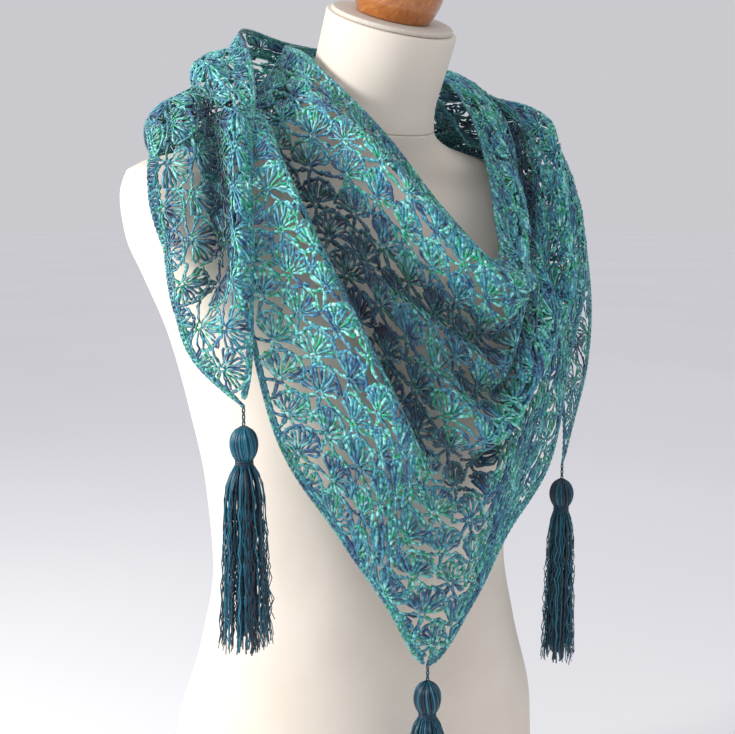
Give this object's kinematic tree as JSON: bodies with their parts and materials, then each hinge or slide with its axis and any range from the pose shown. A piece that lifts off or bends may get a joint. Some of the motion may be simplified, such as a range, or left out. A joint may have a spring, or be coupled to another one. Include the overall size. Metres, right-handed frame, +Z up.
{
  "type": "crochet shawl on a limbless dress form",
  "caption": "Triangular lace crochet shawl with a tassel at each corner, worn round the neck of a limbless tabletop dress form.",
  "frame": {"origin": "centre of the dress form's flat underside", "axes": "+Z up, -Y towards the form's front, +X towards the form's left shoulder"},
  "size_m": [0.4419, 0.3296, 0.8558],
  "materials": {
    "cream_cover": "matte",
    "varnished_wood": "gloss",
    "teal_lace": "satin",
    "dark_teal_yarn": "satin"
  },
  "bodies": {
    "root": {"form_torso": "cream_cover", "form_neck": "cream_cover", "form_neck_cap": "cream_cover", "form_knob": "varnished_wood", "shawl_right_tail": "teal_lace", "shawl_inner_wrap": "teal_lace", "shawl_front": "teal_lace", "shawl_outer_wrap": "teal_lace", "shawl_left_tail": "teal_lace", "tassel_front": "dark_teal_yarn", "tassel_right": "dark_teal_yarn", "tassel_left": "dark_teal_yarn"}
  },
  "joints": []
}
